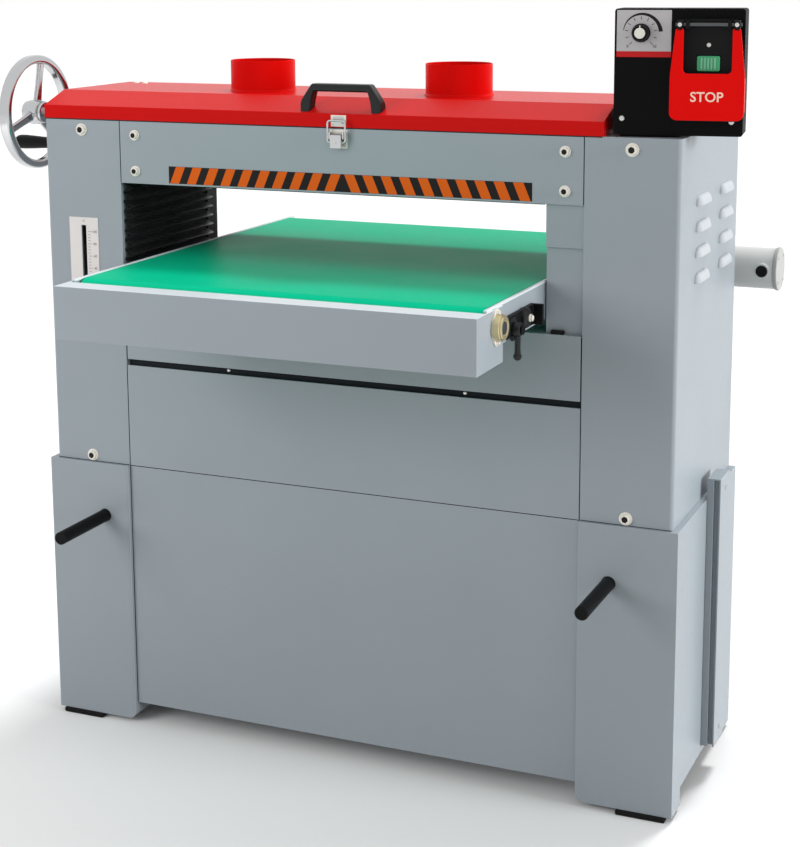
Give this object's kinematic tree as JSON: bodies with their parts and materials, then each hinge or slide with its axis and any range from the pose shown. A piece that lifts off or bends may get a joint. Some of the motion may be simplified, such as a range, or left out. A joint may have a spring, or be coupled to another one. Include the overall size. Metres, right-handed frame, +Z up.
{
  "type": "drum sander",
  "caption": "Cabinet drum sander with a conveyor feed table raised by a handwheel, a hinged dust hood with round ports, a speed control and a stop flap.",
  "frame": {"origin": "middle of the whole machine's footprint, on the floor", "axes": "+X to the operator's right along the drums, +Y from front to back along the feed, +Z up"},
  "size_m": [1.2888, 0.779, 1.195],
  "materials": {
    "grey_paint": "satin",
    "red_paint": "gloss",
    "cream_paint": "satin",
    "black_metal": "satin",
    "black_plastic": "matte",
    "red_plastic": "gloss",
    "green_plastic": "gloss",
    "zinc": "satin",
    "steel": "satin",
    "chrome": "polished",
    "cast_iron": "rough",
    "aluminium": "satin",
    "belt_green": "matte",
    "black_rubber": "matte",
    "bellows_black": "matte",
    "scale_white": "satin"
  },
  "bodies": {
    "frame": {"left_column": "grey_paint", "right_column": "grey_paint", "left_cabinet": "grey_paint", "right_cabinet": "grey_paint", "feet": "black_rubber", "lower_front_panel": "grey_paint", "upper_front_panel": "grey_paint", "rear_panel": "grey_paint", "base_shelf": "grey_paint", "side_cover": "grey_paint", "frame_bolts": "zinc", "head_beams": "grey_paint", "head_plates": "grey_paint", "drum_bearings": "cast_iron", "main_motor": "cast_iron", "drive_belts": "black_rubber", "scale_plate": "scale_white", "bellows": "bellows_black", "lift_bushes": "cast_iron", "lift_chain": "steel", "hinge_bases": "zinc", "latch_base": "chrome", "control_box": "black_metal", "switch_base": "black_plastic"},
    "table": {"table_frame": "grey_paint", "apron": "grey_paint", "conveyor_belt": "belt_green", "band_panel": "grey_paint", "roller_bearings": "zinc", "takeup_brackets": "black_metal", "gear_motor": "cream_paint"},
    "hood": {"hood": "red_paint", "dust_ports": "red_paint", "hood_handle": "black_plastic", "hood_hinges": "zinc", "latch_keeper": "chrome"},
    "front_drum": {"front_drum": "aluminium"},
    "rear_drum": {"rear_drum": "aluminium"},
    "front_hold_roller": {"front_hold_roller": "steel"},
    "rear_hold_roller": {"rear_hold_roller": "steel"},
    "motor_pulley": {"motor_pulley": "cast_iron"},
    "front_roller": {"front_roller": "steel"},
    "rear_roller": {"rear_roller": "steel"},
    "clamp_lever": {"clamp_lever": "black_metal"},
    "front_left_screw": {"front_left_screw": "steel"},
    "front_right_screw": {"front_right_screw": "steel"},
    "rear_left_screw": {"rear_left_screw": "steel"},
    "rear_right_screw": {"rear_right_screw": "steel"},
    "handwheel": {"handwheel": "chrome"},
    "crank_grip": {"crank_grip": "black_plastic"},
    "latch_lever": {"latch_lever": "chrome"},
    "latch_loop": {"latch_loop": "chrome"},
    "left_bar": {"left_bar": "black_metal"},
    "right_bar": {"right_bar": "black_metal"},
    "start_button": {"start_button": "green_plastic"},
    "stop_button": {"stop_button": "red_plastic"},
    "flap_rod": {"flap_rod": "zinc"},
    "stop_flap": {"stop_flap": "red_plastic"},
    "speed_knob": {"speed_knob": "black_plastic"}
  },
  "joints": [
    {"name": "handwheel_turn", "type": "hinge", "parent": "frame", "child": "handwheel", "pos_m": [-0.555, -0.0365, 1.018], "axis": [1, 0, 0], "range_deg": [0, 9630]},
    {"name": "grip_spin", "type": "hinge", "parent": "handwheel", "child": "crank_grip", "pos_m": [-0.605, 0.02815, 0.95979], "axis": [1, 0, 0], "continuous": true},
    {"name": "table_lift", "type": "slide", "parent": "frame", "child": "table", "axis": [0, 0, 1], "range_m": [0, 0.107], "deforming": ["bellows"]},
    {"name": "front_left_screw_turn", "type": "hinge", "parent": "frame", "child": "front_left_screw", "pos_m": [-0.39, -0.0365, 0.474], "axis": [0, 0, 1], "range_deg": [-9630, 0]},
    {"name": "rear_left_screw_turn", "type": "hinge", "parent": "frame", "child": "rear_left_screw", "pos_m": [-0.39, 0.1315, 0.474], "axis": [0, 0, 1], "range_deg": [-9630, 0]},
    {"name": "front_right_screw_turn", "type": "hinge", "parent": "frame", "child": "front_right_screw", "pos_m": [0.46, -0.0365, 0.474], "axis": [0, 0, 1], "range_deg": [-9630, 0]},
    {"name": "rear_right_screw_turn", "type": "hinge", "parent": "frame", "child": "rear_right_screw", "pos_m": [0.46, 0.1315, 0.474], "axis": [0, 0, 1], "range_deg": [-9630, 0]},
    {"name": "rear_roller_spin", "type": "hinge", "parent": "table", "child": "rear_roller", "pos_m": [0.035, 0.3515, 0.7756], "axis": [1, 0, 0], "continuous": true},
    {"name": "front_roller_spin", "type": "hinge", "parent": "table", "child": "front_roller", "pos_m": [0.035, -0.3195, 0.7756], "axis": [1, 0, 0], "continuous": true},
    {"name": "clamp_turn", "type": "hinge", "parent": "table", "child": "clamp_lever", "pos_m": [0.375, -0.2565, 0.7612], "axis": [1, 0, 0], "range_deg": [-60, 60]},
    {"name": "front_drum_spin", "type": "hinge", "parent": "frame", "child": "front_drum", "pos_m": [0.035, -0.0175, 0.972], "axis": [1, 0, 0], "continuous": true},
    {"name": "rear_drum_spin", "type": "hinge", "parent": "frame", "child": "rear_drum", "pos_m": [0.035, 0.1125, 0.972], "axis": [1, 0, 0], "continuous": true},
    {"name": "motor_spin", "type": "hinge", "parent": "frame", "child": "motor_pulley", "pos_m": [0.49, 0.0765, 0.2], "axis": [1, 0, 0], "continuous": true},
    {"name": "front_hold_spin", "type": "hinge", "parent": "frame", "child": "front_hold_roller", "pos_m": [0.035, -0.0885, 0.9235], "axis": [1, 0, 0], "continuous": true},
    {"name": "rear_hold_spin", "type": "hinge", "parent": "frame", "child": "rear_hold_roller", "pos_m": [0.035, 0.1835, 0.9235], "axis": [1, 0, 0], "continuous": true},
    {"name": "hood_hinge", "type": "hinge", "parent": "frame", "child": "hood", "pos_m": [0.035, 0.209, 1.016], "axis": [-1, 0, 0], "range_deg": [0, 80]},
    {"name": "latch_turn", "type": "hinge", "parent": "frame", "child": "latch_lever", "pos_m": [0.035, -0.116, 1.004], "axis": [-1, 0, 0], "range_deg": [0, 110]},
    {"name": "loop_swing", "type": "hinge", "parent": "latch_lever", "child": "latch_loop", "pos_m": [0.035, -0.1175, 0.994], "axis": [-1, 0, 0], "range_deg": [-110, 0]},
    {"name": "left_bar_slide", "type": "slide", "parent": "frame", "child": "left_bar", "axis": [0, 1, 0], "range_m": [0, 0.125]},
    {"name": "right_bar_slide", "type": "slide", "parent": "frame", "child": "right_bar", "axis": [0, 1, 0], "range_m": [0, 0.125]},
    {"name": "start_press", "type": "slide", "parent": "frame", "child": "start_button", "axis": [-0.1392, 0.9903, 0], "range_m": [0, 0.003], "stiffness_N_per_m": 400, "springref_m": -0.002},
    {"name": "flap_press", "type": "hinge", "parent": "frame", "child": "flap_rod", "pos_m": [0.59264, -0.10343, 1.1737], "axis": [0.9903, 0.1392, 0], "range_deg": [0, 4], "stiffness_Nm_per_rad": 1.5, "springref_deg": -2.86},
    {"name": "stop_press", "type": "slide", "parent": "frame", "child": "stop_button", "axis": [-0.1392, 0.9903, 0], "range_m": [0, 0.00731]},
    {"name": "flap_lift", "type": "hinge", "parent": "flap_rod", "child": "stop_flap", "pos_m": [0.59264, -0.10343, 1.1737], "axis": [-0.9903, -0.1392, 0], "range_deg": [0, 95]},
    {"name": "speed_turn", "type": "hinge", "parent": "frame", "child": "speed_knob", "pos_m": [0.49634, -0.1008, 1.1615], "axis": [-0.1392, 0.9903, 0], "range_deg": [-135, 135]}
  ],
  "couplings": [
    {"joint": "table_lift", "follows": "handwheel_turn", "m_per_rad": 0.00063662},
    {"joint": "front_left_screw_turn", "follows": "handwheel_turn", "ratio": -1},
    {"joint": "front_right_screw_turn", "follows": "handwheel_turn", "ratio": -1},
    {"joint": "rear_left_screw_turn", "follows": "handwheel_turn", "ratio": -1},
    {"joint": "rear_right_screw_turn", "follows": "handwheel_turn", "ratio": -1},
    {"joint": "front_roller_spin", "follows": "rear_roller_spin", "ratio": 1},
    {"joint": "rear_drum_spin", "follows": "front_drum_spin", "ratio": 1},
    {"joint": "motor_spin", "follows": "front_drum_spin", "ratio": 0.65217},
    {"joint": "loop_swing", "follows": "latch_turn", "ratio": -1},
    {"joint": "stop_press", "follows": "flap_press", "m_per_rad": 0.1047}
  ]
}
